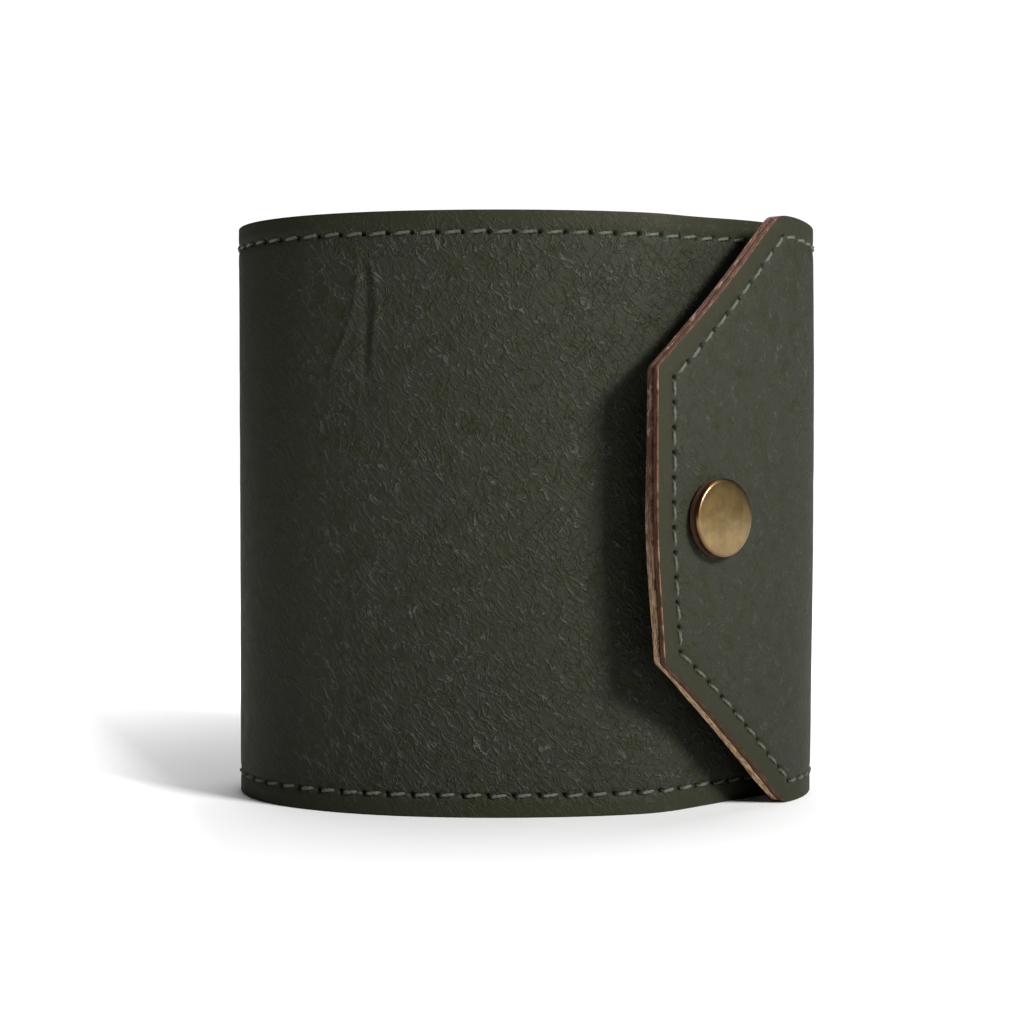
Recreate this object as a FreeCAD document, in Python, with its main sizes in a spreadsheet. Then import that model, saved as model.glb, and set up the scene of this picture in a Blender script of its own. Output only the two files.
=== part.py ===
import FreeCAD, Part
import math
import os
import Sketcher

# A wrap-round leather card holder that stands on its edge.  One two-ply strip runs from the free
# edge of the front cover round the left fold, along the back, round the right fold and ends as a
# chamfered flap, which a press stud holds on the front cover.  X is to the right, Y to the back,
# Z up.  In plan the strip is a chain of tangent arcs that all turn the same way.

Vector = FreeCAD.Vector
Constraint = Sketcher.Constraint
UP = Vector(0, 0, 1)
NO_TURN = FreeCAD.Rotation()
START, END = 1, 2
LEAST_CUT = 1.0     # mm3
NO_LENGTH = 1e-6    # mm

# Driving dimensions in millimetres and degrees.
DIMENSIONS = [
    ("strip_height", 96),
    ("outer_ply", 1.3),
    ("lining_ply", 1.3),
    ("fold_gap", 0.3),
    # Plan of the strip: the radius and the turn of each arc, in order along the strip.
    ("edge_radius", 500), ("edge_turn", 2.7),
    ("stud_radius", 20.4), ("stud_turn", 22.4),
    ("shoulder_radius", 48), ("shoulder_turn", 8),
    ("front_radius", 77), ("front_turn", 24),
    ("cheek_radius", 48), ("cheek_turn", 18),
    ("corner_radius", 34), ("corner_turn", 18),
    ("left_radius", 26), ("left_turn", 42),
    ("heel_radius", 20), ("heel_turn", 66),
    ("back_left_radius", 80), ("back_left_turn", 18),
    ("back_radius", 140), ("back_turn", 12),
    ("back_right_radius", 71), ("back_right_turn", 18),
    ("right_radius", 19.8), ("right_turn", 66),
    ("turnover_radius", 28.1), ("turnover_turn", 42),
    ("flap_radius", 140), ("flap_turn", 12.1),
    # Flap outline: each tip corner is cut off by this much along the flap and in height, and
    # the cut goes on by the waste into the air.
    ("chamfer_length", 28.5), ("chamfer_height", 25), ("waste", 3),
    # Press stud.  Its axis crosses the flap this far from the tip and this high.
    ("stud_inset", 12.42), ("stud_height", 47.5), ("hole_radius", 1.75),
    ("cap_radius", 6.25), ("cap_rim", 1.3), ("cap_crown", 1.0), ("cap_seat", 0.1),
    ("post_radius", 1.5), ("post_head_radius", 2.1), ("post_head", 0.5),
    ("socket_radius", 4.7), ("socket_depth", 4.5), ("socket_bore", 3.3), ("socket_mouth", 2.75),
    ("socket_flange_radius", 5.3), ("socket_flange", 0.8), ("socket_lip", 0.35),
    ("socket_seat", 0.15),
    ("spring_ring_radius", 2.6), ("spring_wire_radius", 0.3), ("spring_rise", 0.7),
    ("stud_seat", 0.15), ("stud_flange_radius", 4.4), ("stud_flange", 0.45),
    ("stud_neck_radius", 2.0), ("stud_ball_radius", 2.4), ("stud_ball_rise", 2.6),
    ("stud_rise", 3.7), ("stud_bore", 1.5), ("stud_bore_depth", 2.6),
    ("rivet_radius", 1.35), ("rivet_head_radius", 3.4), ("rivet_head", 0.6),
    ("rivet_seat", 0.35), ("rivet_rise", 2.4),
    # Card pockets, each for cards standing on their short side.
    ("pocket_width", 62), ("pocket_sheet", 0.9), ("pocket_space", 1.2), ("pocket_seam", 2.6),
    ("pocket_foot", 5), ("tall_pocket", 80), ("short_pocket", 62), ("notch_radius", 9),
    # Stitches.
    ("stitch_inset", 3.5), ("stitch_pitch", 4.1), ("stitch_length", 3.0),
    ("fold_clearance", 2), ("thread_width", 0.6), ("thread_height", 0.4), ("thread_gap", 0.05),
]

ARCS = ["edge", "stud", "shoulder", "front", "cheek", "corner", "left", "heel", "back_left",
        "back", "back_right", "right", "turnover", "flap"]

doc = FreeCAD.newDocument("card_holder")
sheet = doc.addObject("Spreadsheet::Sheet", "Sizes")
for row, (word, value) in enumerate(DIMENSIONS, start=1):
    sheet.set(f"A{row}", word)
    sheet.set(f"B{row}", str(value))
    sheet.setAlias(f"B{row}", word)
doc.recompute()


def size(*words):
    """The sum of the named cells."""
    return sum(float(sheet.get(word)) for word in words)


def formula(*words):
    """The same sum as an expression; a word that starts with a minus sign is subtracted."""
    terms = [("- " if word[0] == "-" else "+ ") + "Sizes." + word.lstrip("-") for word in words]
    return "0 " + " ".join(terms)


# ---------------------------------------------------------------- the strip in plan

class Arc:
    """A stretch of the strip's outer face that turns clockwise about its centre."""

    def __init__(self, name, centre, radius, heading, turn):
        self.name, self.centre, self.radius = name, centre, radius
        self.heading, self.turn = heading, turn
        self.length = radius * turn

    def at(self, length):
        """Point and outward normal at a length from the arc's start."""
        angle = self.heading + math.pi / 2 - length / self.radius
        outward = Vector(math.cos(angle), math.sin(angle), 0)
        return self.centre + outward * self.radius, outward

    def trimmed(self, first, last):
        heading = self.heading - first / self.radius
        return Arc(self.name, self.centre, self.radius, heading, (last - first) / self.radius)

    def drawn(self, depth):
        """The arc at a depth under the outer face; its END is where the strip comes in."""
        high = self.heading + math.pi / 2
        circle = Part.Circle(self.centre, UP, self.radius - depth)
        return Part.ArcOfCircle(circle, high - self.turn, high)


class Strip:
    def __init__(self, names):
        before_front = sum(size(name + "_turn") for name in names[:names.index("front")])
        heading = math.radians(180 + before_front + size("front_turn") / 2)
        point = Vector(0, 0, 0)
        self.arcs = []
        for name in names:
            radius, turn = size(name + "_radius"), math.radians(size(name + "_turn"))
            inward = Vector(math.sin(heading), -math.cos(heading), 0)
            arc = Arc(name, point + inward * radius, radius, heading, turn)
            self.arcs.append(arc)
            point, heading = arc.at(arc.length)[0], heading - turn
        self.length = sum(arc.length for arc in self.arcs)
        self.centre_on_origin()

    def centre_on_origin(self, steps=2000):
        points = [self.at(self.length * i / steps)[0] for i in range(steps + 1)]
        spans = [[getattr(point, axis) for point in points] for axis in ("x", "y")]
        shift = Vector(*[-(min(span) + max(span)) / 2 for span in spans], 0)
        for arc in self.arcs:
            arc.centre = arc.centre + shift

    def start(self, name):
        """Length along the strip at which the named arc starts."""
        index = [arc.name for arc in self.arcs].index(name)
        return sum(arc.length for arc in self.arcs[:index])

    def at(self, length):
        for arc in self.arcs:
            if length <= arc.length or arc is self.arcs[-1]:
                return arc.at(length)
            length -= arc.length

    def between(self, first, last):
        """The arcs from one length to another, the end ones trimmed."""
        found, start = [], 0
        for arc in self.arcs:
            low, high = max(first - start, 0), min(last - start, arc.length)
            if high - low > NO_LENGTH:
                found.append(arc.trimmed(low, high))
            start += arc.length
        return found


strip = Strip(ARCS)
half_gap = size("fold_gap") / 2
left_fold = strip.start("heel")
right_fold = strip.start("turnover")
FRONT = (0, left_fold - half_gap)
BACK = (left_fold + half_gap, right_fold - half_gap)
FLAP = (right_fold + half_gap, strip.length)

OUTER_FACE = []
BETWEEN_PLIES = ["outer_ply"]
INNER_FACE = ["outer_ply", "lining_ply"]

# The press stud's axis is the flap's normal at the cap; the stud stands on the front cover
# where the cover faces the same way.
cap_point, stud_axis = strip.at(strip.length - size("stud_inset"))
stud_arc = strip.arcs[ARCS.index("stud")]
stud_point = stud_arc.centre + stud_axis * stud_arc.radius
stud_height = size("stud_height")
cap_place = FreeCAD.Placement(cap_point + UP * stud_height, FreeCAD.Rotation(UP, stud_axis))
stud_place = FreeCAD.Placement(stud_point + UP * stud_height, FreeCAD.Rotation(UP, stud_axis))


# ---------------------------------------------------------------- leather sheets

def new_sketch(body, role, rise=0.0, turn=0.0):
    """A sketch on an origin plane of its body, raised or turned about the vertical."""
    sketch = body.newObject("Sketcher::SketchObject", body.Name + "_sketch")
    plane = next(feature for feature in body.Origin.OriginFeatures if feature.Role == role)
    sketch.AttachmentSupport = [(plane, "")]
    sketch.MapMode = "FlatFace"
    axis = Vector(0, 1, 0) if role == "XZ_Plane" else UP
    sketch.AttachmentOffset = FreeCAD.Placement(UP * rise, FreeCAD.Rotation(axis, turn))
    return sketch


def draw_stretch(sketch, stretch, outside, inside):
    """The strip's plan over a stretch, between two depths that are lists of cell names."""
    arcs = strip.between(*stretch)
    count = len(arcs)
    for depth in (outside, inside):
        for arc in arcs:
            sketch.addGeometry(arc.drawn(size(*depth)))
    for first in (0, count):
        for i in range(first, first + count - 1):
            sketch.addConstraint(Constraint("Coincident", i, START, i + 1, END))
    for arc, near in ((0, END), (count - 1, START)):
        corners = [sketch.getPoint(arc + first, near) for first in (0, count)]
        line = sketch.addGeometry(Part.LineSegment(*corners))
        sketch.addConstraint(Constraint("Coincident", line, START, arc, near))
        sketch.addConstraint(Constraint("Coincident", line, END, count + arc, near))
    for first, depth in ((0, outside), (count, inside)):
        for i, arc in enumerate(arcs):
            radius = arc.radius - size(*depth)
            index = sketch.addConstraint(Constraint("Radius", first + i, radius))
            words = [f"{arc.name}_radius"] + ["-" + word for word in depth]
            sketch.setExpression(f"Constraints[{index}]", formula(*words))


def pad_stretch(name, stretch, outside, inside, height="strip_height"):
    """A sheet of leather as high as the named cell."""
    body = doc.addObject("PartDesign::Body", name)
    body.Label = name
    sketch = new_sketch(body, "XY_Plane")
    draw_stretch(sketch, stretch, outside, inside)
    pad = body.newObject("PartDesign::Pad", name + "_pad")
    pad.Profile = sketch
    pad.setExpression("Length", "Sizes." + height)
    doc.recompute()
    return body


def cut_through(body, sketch, both_ways=True):
    """Cut the sketch out of the body and make sure that something went."""
    before = body.Shape.Volume
    cut = body.newObject("PartDesign::Pocket", sketch.Name + "_cut")
    cut.Profile = sketch
    cut.Type = "ThroughAll"
    cut.Midplane = both_ways
    cut.Reversed = not both_ways
    doc.recompute()
    if body.Shape.Volume > before - LEAST_CUT:
        raise RuntimeError(f"{sketch.Name} cuts nothing")


def facing_sketch(body, normal):
    """A vertical sketch square to a normal, and the way along it in plan."""
    along = UP.cross(normal)
    turn = math.degrees(math.atan2(along.y, along.x))
    return new_sketch(body, "XZ_Plane", turn=turn), along


def cut_hole(body, point, normal, cell, rise):
    sketch, along = facing_sketch(body, normal)
    middle = Vector(point.dot(along), rise, 0)
    circle = sketch.addGeometry(Part.Circle(middle, UP, size(cell)))
    index = sketch.addConstraint(Constraint("Radius", circle, size(cell)))
    sketch.setExpression(f"Constraints[{index}]", "Sizes." + cell)
    cut_through(body, sketch)


def cut_tip_corners(body):
    """Both corners of the flap's tip, cut off square to the flap."""
    sketch, along = facing_sketch(body, stud_axis)
    tip = strip.at(strip.length)[0].dot(along)
    length, height, waste = size("chamfer_length"), size("chamfer_height"), size("waste")
    for level, way in ((0, 1), (size("strip_height"), -1)):
        corners = [Vector(tip, level + way * height, 0), Vector(tip + length, level, 0),
                   Vector(tip + length, level - way * waste, 0),
                   Vector(tip - waste, level - way * waste, 0),
                   Vector(tip - waste, level + way * height, 0)]
        first = sketch.GeometryCount
        for i, corner in enumerate(corners):
            sketch.addGeometry(Part.LineSegment(corner, corners[(i + 1) % len(corners)]))
        for i in range(len(corners)):
            after = first + (i + 1) % len(corners)
            sketch.addConstraint(Constraint("Coincident", first + i, END, after, START))
        for kind, cell, value in (("DistanceX", "chamfer_length", length),
                                  ("DistanceY", "chamfer_height", height)):
            ends = (START, END) if kind == "DistanceX" or way < 0 else (END, START)
            index = sketch.addConstraint(
                Constraint(kind, first, ends[0], first, ends[1], value))
            sketch.setExpression(f"Constraints[{index}]", "Sizes." + cell)
    cut_through(body, sketch)


def card_pocket(name, middle, under, height):
    """A pocket sewn on the faces at the depth under, centred at a length along the strip."""
    reach = size("pocket_width") / 2
    space = under + ["pocket_space"]
    body = pad_stretch(name, (middle - reach, middle + reach), under, space + ["pocket_sheet"],
                       height)
    reach -= size("pocket_seam")
    sketch = new_sketch(body, "XY_Plane", rise=size("pocket_foot"))
    sketch.setExpression("AttachmentOffset.Base.z", "Sizes.pocket_foot")
    draw_stretch(sketch, (middle - reach, middle + reach), under, space)
    cut_through(body, sketch, both_ways=False)
    cut_hole(body, *strip.at(middle), "notch_radius", size(height))
    return body


def leather():
    for name, stretch in (("front", FRONT), ("back", BACK), ("flap", FLAP)):
        outer = pad_stretch(name + "_leather", stretch, OUTER_FACE, BETWEEN_PLIES)
        lining = pad_stretch(name + "_lining", stretch, BETWEEN_PLIES, INNER_FACE)
        for body in (outer, lining):
            if name == "flap":
                cut_tip_corners(body)
            if name != "back":
                cut_hole(body, cap_point, stud_axis, "hole_radius", stud_height)
            yield body


# Middles of the pockets along the strip: clear of the stud's rivet, and opposite it on the back.
front_middle = strip.start("shoulder") + size("pocket_width") / 2
back_middle = strip.start("back") + strip.arcs[ARCS.index("back")].length / 2


def pockets():
    for side, middle in (("front", front_middle), ("back", back_middle)):
        yield card_pocket(side + "_tall_pocket", middle, INNER_FACE, "tall_pocket")
        over = INNER_FACE + ["pocket_space", "pocket_sheet"]
        yield card_pocket(side + "_short_pocket", middle, over, "short_pocket")


# ---------------------------------------------------------------- press stud

def solid(kind, name, rise, **sizes):
    """A primitive on the stud's axis; rise and sizes are lists of cell names to add up."""
    item = doc.addObject("Part::" + kind, name)
    for field, words in sizes.items():
        item.setExpression(field, formula(*words))
    item.setExpression(".Placement.Base.z", formula(*rise))
    return item


def joined(name, *items):
    item = doc.addObject("Part::MultiFuse", name)
    item.Shapes = list(items)
    return item


def combined(kind, name, base, tool):
    item = doc.addObject("Part::" + kind, name)
    item.Base, item.Tool = base, tool
    return item


def placed(item, label, place):
    item.Label = label
    item.Placement = place
    return item


def snap_cap():
    skin = solid("Cylinder", "cap_skin", ["cap_seat"], Radius=["cap_radius"],
                 Height=["cap_rim", "cap_crown"])
    ball = doc.addObject("Part::Sphere", "cap_ball")
    ball.setExpression("Radius", "(Sizes.cap_radius^2 + Sizes.cap_crown^2) / (2 * Sizes.cap_crown)")
    ball.setExpression(".Placement.Base.z",
                       "Sizes.cap_seat + Sizes.cap_rim + Sizes.cap_crown"
                       " - (Sizes.cap_radius^2 + Sizes.cap_crown^2) / (2 * Sizes.cap_crown)")
    dome = combined("Common", "cap_dome", skin, ball)
    down = ["-outer_ply", "-lining_ply", "-socket_seat", "-socket_flange"]
    post = solid("Cylinder", "cap_post", down, Radius=["post_radius"],
                 Height=[word.lstrip("-") for word in down] + ["cap_seat", "cap_rim"])
    head = solid("Cylinder", "cap_post_head", down + ["-post_head"], Radius=["post_head_radius"],
                 Height=["post_head"])
    return placed(joined("cap", dome, post, head), "snap_cap", cap_place)


def snap_socket():
    top = ["-outer_ply", "-lining_ply", "-socket_seat"]
    foot = top + ["-socket_depth"]
    cup = solid("Cylinder", "socket_cup", foot, Radius=["socket_radius"], Height=["socket_depth"])
    flange = solid("Cylinder", "socket_rim", top + ["-socket_flange"],
                   Radius=["socket_flange_radius"], Height=["socket_flange"])
    bore = solid("Cylinder", "socket_room", foot + ["socket_lip"], Radius=["socket_bore"],
                 Height=["socket_depth", "-socket_flange", "-socket_lip"])
    mouth = solid("Cylinder", "socket_way_in", foot, Radius=["socket_mouth"],
                  Height=["socket_lip"])
    post_hole = solid("Cylinder", "socket_post_hole", top + ["-socket_flange"],
                      Radius=["hole_radius"], Height=["socket_flange"])
    outside = joined("socket_outside", cup, flange)
    inside = joined("socket_inside", bore, mouth, post_hole)
    return placed(combined("Cut", "socket", outside, inside), "snap_socket", cap_place)


def snap_spring():
    ring = doc.addObject("Part::Torus", "spring")
    ring.setExpression("Radius1", "Sizes.spring_ring_radius")
    ring.setExpression("Radius2", "Sizes.spring_wire_radius")
    rise = size("spring_rise") - size("outer_ply", "lining_ply", "socket_seat", "socket_depth")
    return placed(ring, "snap_spring", cap_place * FreeCAD.Placement(UP * rise, NO_TURN))


def snap_stud():
    flange = solid("Cylinder", "stud_foot", ["stud_seat"], Radius=["stud_flange_radius"],
                   Height=["stud_flange"])
    neck = solid("Cylinder", "stud_neck", ["stud_seat"], Radius=["stud_neck_radius"],
                 Height=["stud_ball_rise"])
    ball = solid("Sphere", "stud_ball", ["stud_ball_rise"], Radius=["stud_ball_radius"])
    limit = solid("Cylinder", "stud_limit", ["stud_seat"], Radius=["stud_flange_radius"],
                  Height=["stud_rise", "-stud_seat"])
    body = combined("Common", "stud_body", joined("stud_turning", flange, neck, ball), limit)
    bore = solid("Cylinder", "stud_hole", ["stud_seat"], Radius=["stud_bore"],
                 Height=["stud_bore_depth", "-stud_seat"])
    return placed(combined("Cut", "stud", body, bore), "snap_stud", stud_place)


def stud_rivet():
    under = ["-outer_ply", "-lining_ply", "-rivet_seat"]
    head = solid("Cylinder", "rivet_disc", under + ["-rivet_head"], Radius=["rivet_head_radius"],
                 Height=["rivet_head"])
    shank = solid("Cylinder", "rivet_shank", under, Radius=["rivet_radius"],
                  Height=[word.lstrip("-") for word in under] + ["rivet_rise"])
    return placed(joined("rivet", head, shank), "stud_rivet", stud_place)


# ---------------------------------------------------------------- stitching

def stitch(length, rise, slope, depth):
    """One stitch on the strip at a length and height; slope is its angle from level, and a
    depth puts it on an inner face."""
    point, outward = strip.at(length)
    along = outward.cross(UP)
    lies = along * math.cos(slope) + UP * math.sin(slope)
    lift = -depth - size("thread_gap") if depth else size("thread_gap")
    facing = outward * (-1 if depth else 1)
    across = facing.cross(lies)
    centre = point + outward * lift + UP * rise
    long, wide, high = size("stitch_length"), size("thread_width"), size("thread_height")
    corner = centre - lies * (long / 2) - across * (wide / 2)
    bar = Part.makeBox(long, wide, high)
    bar.Placement = FreeCAD.Placement(corner, FreeCAD.Rotation(lies, across, facing, "XYZ"))
    return bar


def stitch_run(start, end, depth=0.0):
    """Evenly spaced stitches between two (length, height) places, clear of both ends."""
    run = math.hypot(end[0] - start[0], end[1] - start[1])
    slope = math.atan2(end[1] - start[1], end[0] - start[0])
    count = max(1, int(run / size("stitch_pitch")))
    for i in range(count):
        share = (i + 0.5) / count
        yield stitch(start[0] + (end[0] - start[0]) * share,
                     start[1] + (end[1] - start[1]) * share, slope, depth)


def stitching(name, places, depth=0.0):
    """One node of separate stitches along a chain of (length, height) places."""
    bars = []
    for start, end in zip(places, places[1:]):
        bars.extend(stitch_run(start, end, depth))
    item = doc.addObject("Part::Feature", name)
    item.Label = name
    item.Shape = Part.makeCompound(bars)
    return item


def cover_stitching():
    """Rows along the top and bottom edges, the cover's free edge and the flap's outline, all
    at one inset and clear of the folds."""
    inset, top = size("stitch_inset"), size("strip_height") - size("stitch_inset")
    clear = size("fold_clearance")
    fold = FRONT[1] - clear
    yield stitching("front_stitching", [(fold, top), (inset, top), (inset, inset),
                                        (fold, inset)])
    for level, name in ((top, "back_top_stitching"), (inset, "back_bottom_stitching")):
        yield stitching(name, [(BACK[0] + clear, level), (BACK[1] - clear, level)])
    fold = FLAP[0] + clear
    lean = math.atan2(size("chamfer_height"), size("chamfer_length"))
    corner = strip.length - size("chamfer_length") - inset * math.tan(lean / 2)
    tip = strip.length - inset
    low = inset + (tip - corner) * math.tan(lean)
    high = size("strip_height") - low
    yield stitching("flap_stitching", [(fold, inset), (corner, inset), (tip, low),
                                       (tip, high), (corner, top), (fold, top)])


def pocket_stitching():
    half_seam = size("pocket_seam") / 2
    reach = size("pocket_width") / 2 - half_seam
    depth = size("outer_ply", "lining_ply") + 2 * size("pocket_space", "pocket_sheet")
    low, high = size("stitch_inset"), size("short_pocket")
    for side, middle in (("front", front_middle), ("back", back_middle)):
        left, right = middle - reach, middle + reach
        yield stitching(side + "_pocket_stitching", [(left, high), (left, low), (right, low),
                                                     (right, high)], depth)


# ---------------------------------------------------------------- make and write

parts = [*leather(), *pockets(), snap_cap(), snap_socket(), snap_spring(), snap_stud(),
         stud_rivet(), *cover_stitching(), *pocket_stitching()]
doc.recompute()

for item in doc.Objects:
    if "Invalid" in item.State or "Error" in item.State:
        raise RuntimeError(f"{item.Name} failed: {item.State}")
for item in parts:
    if item.Shape.isNull() or not item.Shape.isValid():
        raise RuntimeError(f"{item.Label} has no valid shape")

os.makedirs("parts", exist_ok=True)
for item in parts:
    item.Shape.exportStep(f"parts/{item.Label}.step")
    box = item.Shape.BoundBox
    print(f"{item.Label}: {len(item.Shape.Solids)} solids, {item.Shape.Volume:.1f} mm3, "
          f"x {box.XMin:.1f} {box.XMax:.1f}, y {box.YMin:.1f} {box.YMax:.1f}, "
          f"z {box.ZMin:.1f} {box.ZMax:.1f}")
lift = (cap_point - stud_point).dot(stud_axis)
slip = (cap_point - stud_point).cross(stud_axis).Length
print(f"stud at {stud_point}, cap at {cap_point}, lift {lift:.2f}, slip {slip:.2f}")
print(f"left fold at {strip.at(left_fold)[0]}, right fold at {strip.at(right_fold)[0]}")
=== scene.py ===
import math

import bpy
import numpy as np
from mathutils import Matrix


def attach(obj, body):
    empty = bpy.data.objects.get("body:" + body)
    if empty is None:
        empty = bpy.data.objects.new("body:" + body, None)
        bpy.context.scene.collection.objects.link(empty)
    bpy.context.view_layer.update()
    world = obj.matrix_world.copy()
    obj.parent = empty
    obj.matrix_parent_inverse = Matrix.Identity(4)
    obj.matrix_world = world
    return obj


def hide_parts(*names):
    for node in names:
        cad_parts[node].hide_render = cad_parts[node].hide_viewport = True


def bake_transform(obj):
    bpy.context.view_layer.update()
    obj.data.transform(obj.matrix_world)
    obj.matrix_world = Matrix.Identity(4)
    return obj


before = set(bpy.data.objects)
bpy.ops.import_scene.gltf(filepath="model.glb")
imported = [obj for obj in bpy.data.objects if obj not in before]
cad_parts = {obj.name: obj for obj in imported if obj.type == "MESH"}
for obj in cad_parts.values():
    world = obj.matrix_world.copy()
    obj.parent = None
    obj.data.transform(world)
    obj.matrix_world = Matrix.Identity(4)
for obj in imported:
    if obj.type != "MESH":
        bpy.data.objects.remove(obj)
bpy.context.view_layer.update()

MM = 0.001
UP = np.array([0.0, 0.0, 1.0])

# The strip's plan as in the CAD: radius in mm and turn in degrees of each arc, from the front
# cover's free edge round the left fold, the back and the right fold to the flap's tip.
ARCS = {
    "edge": (500, 2.7), "stud": (20.4, 22.4), "shoulder": (48, 8), "front": (77, 24),
    "cheek": (48, 18), "corner": (34, 18), "left": (26, 42), "heel": (20, 66),
    "back_left": (80, 18), "back": (140, 12), "back_right": (71, 18), "right": (19.8, 66),
    "turnover": (28.1, 42), "flap": (140, 12.1),
}
HEIGHT = 96.0
PLY = 1.3
CHAMFER_LENGTH, CHAMFER_HEIGHT = 28.5, 25.0
STUD_INSET, STUD_HEIGHT = 12.42, 47.5
SOCKET_GAP, SOCKET_LENGTH = 0.15, 4.5
STITCH_INSET, STITCH_PITCH, FLAP_PITCH = 3.5, 4.1, 3.85
POCKET_WIDTH, POCKET_SHEET, POCKET_SPACE = 62.0, 0.9, 1.2
POCKET_SEAM, POCKET_FOOT, POCKET_GAP, NOTCH = 2.6, 5.0, 1.0, 9.0
TALL_POCKET, SHORT_POCKET = 80.0, 62.0


# ---------------------------------------------------------------- the strip in plan

class Plan:
    """Points and outward normals of the strip's outer face, by length in mm along it."""

    def __init__(self):
        self.radii = np.array([radius for radius, turn in ARCS.values()], float)
        turns = np.radians([turn for radius, turn in ARCS.values()])
        lead = sum(turn for radius, turn in list(ARCS.values())[:3]) + ARCS["front"][1] / 2
        headings = math.radians(180 + lead) - np.concatenate([[0], np.cumsum(turns)])
        self.headings = headings[:-1]
        self.starts = np.concatenate([[0], np.cumsum(self.radii * turns)])
        self.length = self.starts[-1]
        self.centres = np.zeros((len(turns), 2))
        point = np.zeros(2)
        for i, radius in enumerate(self.radii):
            first, last = headings[i], headings[i + 1]
            self.centres[i] = point + radius * np.array([math.sin(first), -math.cos(first)])
            point = self.centres[i] + radius * np.array([-math.sin(last), math.cos(last)])
        outline = self.at(np.linspace(0, self.length, 4000))[0]
        self.centres -= (outline.min(0) + outline.max(0)) / 2

    def start(self, name):
        return self.starts[list(ARCS).index(name)]

    def at(self, s):
        s = np.atleast_1d(np.asarray(s, float))
        i = np.clip(np.searchsorted(self.starts, s, "right") - 1, 0, len(self.radii) - 1)
        angle = self.headings[i] + math.pi / 2 - (s - self.starts[i]) / self.radii[i]
        normal = np.stack([np.cos(angle), np.sin(angle)], 1)
        return self.centres[i] + normal * self.radii[i][:, None], normal


plan = Plan()
LEFT_FOLD, RIGHT_FOLD = plan.start("heel"), plan.start("turnover")
FRONT_LINE = (plan.start("front") + plan.start("cheek")) / 2    # stands furthest forward
BACK_MIDDLE = (plan.start("back") + plan.start("back_right")) / 2
FRONT_MIDDLE = plan.start("shoulder") + POCKET_WIDTH / 2
CORNER = plan.length - CHAMFER_LENGTH
LEAN = math.atan2(CHAMFER_HEIGHT, CHAMFER_LENGTH)
CAP_LINE = plan.length - STUD_INSET
STUD_LINE = plan.start("stud") + 0.5


def smooth(t):
    t = np.clip(t, 0, 1)
    return t * t * (3 - 2 * t)


# ---------------------------------------------------------------- relief of the leather

def value_noise(x, y, cell, seed):
    """Smooth noise from -1 to 1 over a grid of cells of that size."""
    grid = np.random.default_rng(seed).uniform(-1, 1, (96, 96))
    u, v = x / cell + 30, y / cell + 30
    i, j = np.floor(u).astype(int), np.floor(v).astype(int)
    a, b = smooth(u - i), smooth(v - j)
    i, j, i1, j1 = i % 96, j % 96, (i + 1) % 96, (j + 1) % 96
    return ((grid[i, j] * (1 - a) + grid[i1, j] * a) * (1 - b)
            + (grid[i, j1] * (1 - a) + grid[i1, j1] * a) * b)


WAVE, BULGE = 0.12, 0.40


def wave(s, z):
    """Slow waves of the whole strip and a bulge of the right fold, in mm; both plies and the
    thread follow them.  The waves die out round the press stud, whose pieces lie flat."""
    out = WAVE * value_noise(s, z * 0.6, 24, 1)
    bulge = np.exp(-((s - RIGHT_FOLD) / 15) ** 2) * np.cos((z - 56) / HEIGHT * math.pi)
    for place in (CAP_LINE, STUD_LINE):
        out = out * (1 - np.exp(-(np.hypot(s - place, z - STUD_HEIGHT) / 13) ** 4))
    return out + BULGE * bulge


CORNER_LIFT, EDGE_LIFT, CORNER_DRAW = 0.75, 0.6, 1.9


def in_space(s, depth, z):
    """Points in metres at lengths, depths under the outer face and heights in mm.  The flap's
    lower corner is drawn back a little, and its top corner and the front's stand up."""
    s, depth, z = (np.ravel(v) for v in np.broadcast_arrays(s, depth, z))
    upper = smooth((z - HEIGHT / 2) / 40)
    raised = CORNER_LIFT * np.exp(-((s - CORNER + 1) / 11) ** 2)
    raised += EDGE_LIFT * smooth((26 - s) / 24)
    drawn = CORNER_DRAW * smooth((s - CORNER + 24) / 22) * smooth((50 - z) / 34)
    point, normal = plan.at(s - drawn)
    flat = point - normal * (depth - wave(s, z))[:, None]
    return np.column_stack([flat, z + raised * upper]) * MM


# Creases of the front: ((mm left of the front line, height), ...), width and height in mm.
CREASES = [
    (((21.9, 90.5), (21.7, 84), (21.6, 78), (22.0, 71.5), (21.4, 65)), 0.85, -0.33),
    (((22.8, 90), (23.2, 85.6), (23.6, 81.7), (24.3, 78.8), (26.0, 75.2), (27.8, 71.5),
      (28.6, 66)), 0.50, 0.209),
    (((20.9, 88.5), (20.2, 85.5), (19.7, 81), (20.3, 76.8), (20.9, 71)), 0.50, 0.187),
    (((22.0, 88.6), (20.7, 87.3), (19.9, 84.6)), 0.35, 0.11),
    (((23.0, 73.5), (22.6, 69), (23.4, 64), (22.8, 59)), 0.45, 0.088),
    (((26.6, 69), (25.2, 66.5), (24.6, 62)), 0.45, 0.077),
    (((26.0, 34), (25.2, 22), (26.2, 10)), 0.70, 0.088),
    (((24.6, 33), (24.0, 22), (24.9, 11)), 0.80, -0.088),
    (((20.0, 55.5), (12, 57.5), (4, 56.5), (-3, 58.5)), 0.80, -0.077),
    (((19.0, 56.9), (11, 58.9), (3, 58.0)), 0.60, 0.055),
    (((14, 86), (13.4, 76), (15.0, 66)), 0.60, 0.033),
]


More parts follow.
